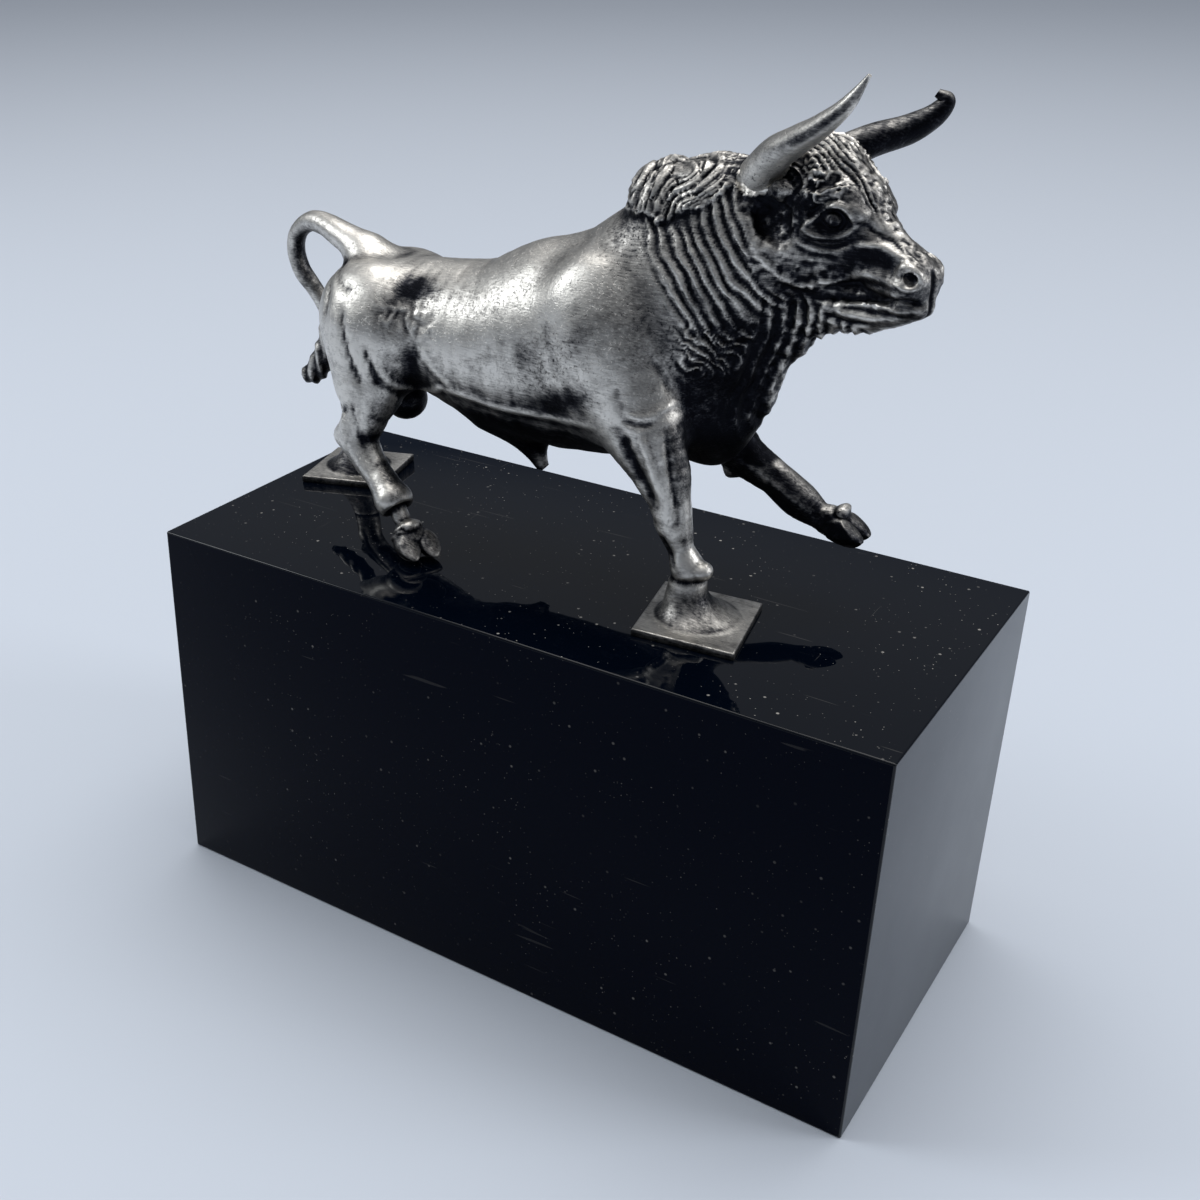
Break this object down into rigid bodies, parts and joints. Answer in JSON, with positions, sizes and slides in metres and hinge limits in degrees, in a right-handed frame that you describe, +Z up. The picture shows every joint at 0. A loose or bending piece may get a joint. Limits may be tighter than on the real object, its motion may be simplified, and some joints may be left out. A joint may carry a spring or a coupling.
{
  "type": "animal figurine",
  "caption": "Striding bull cast in oxidised silver, standing on foot plates on a polished black rectangular plinth.",
  "frame": {"origin": "middle of the plinth's underside", "axes": "+X the way the bull faces, along the plinth's long side; +Y to the bull's left; +Z up"},
  "size_m": [0.12, 0.056, 0.1363],
  "materials": {
    "black_stone": "polished black stone, mirror gloss, fine dust and scratches",
    "silver": "oxidised cast silver, bright on the high places and dark in the hollows"
  },
  "bodies": {
    "root": {"plinth": "black_stone", "bull": "silver"}
  },
  "joints": []
}
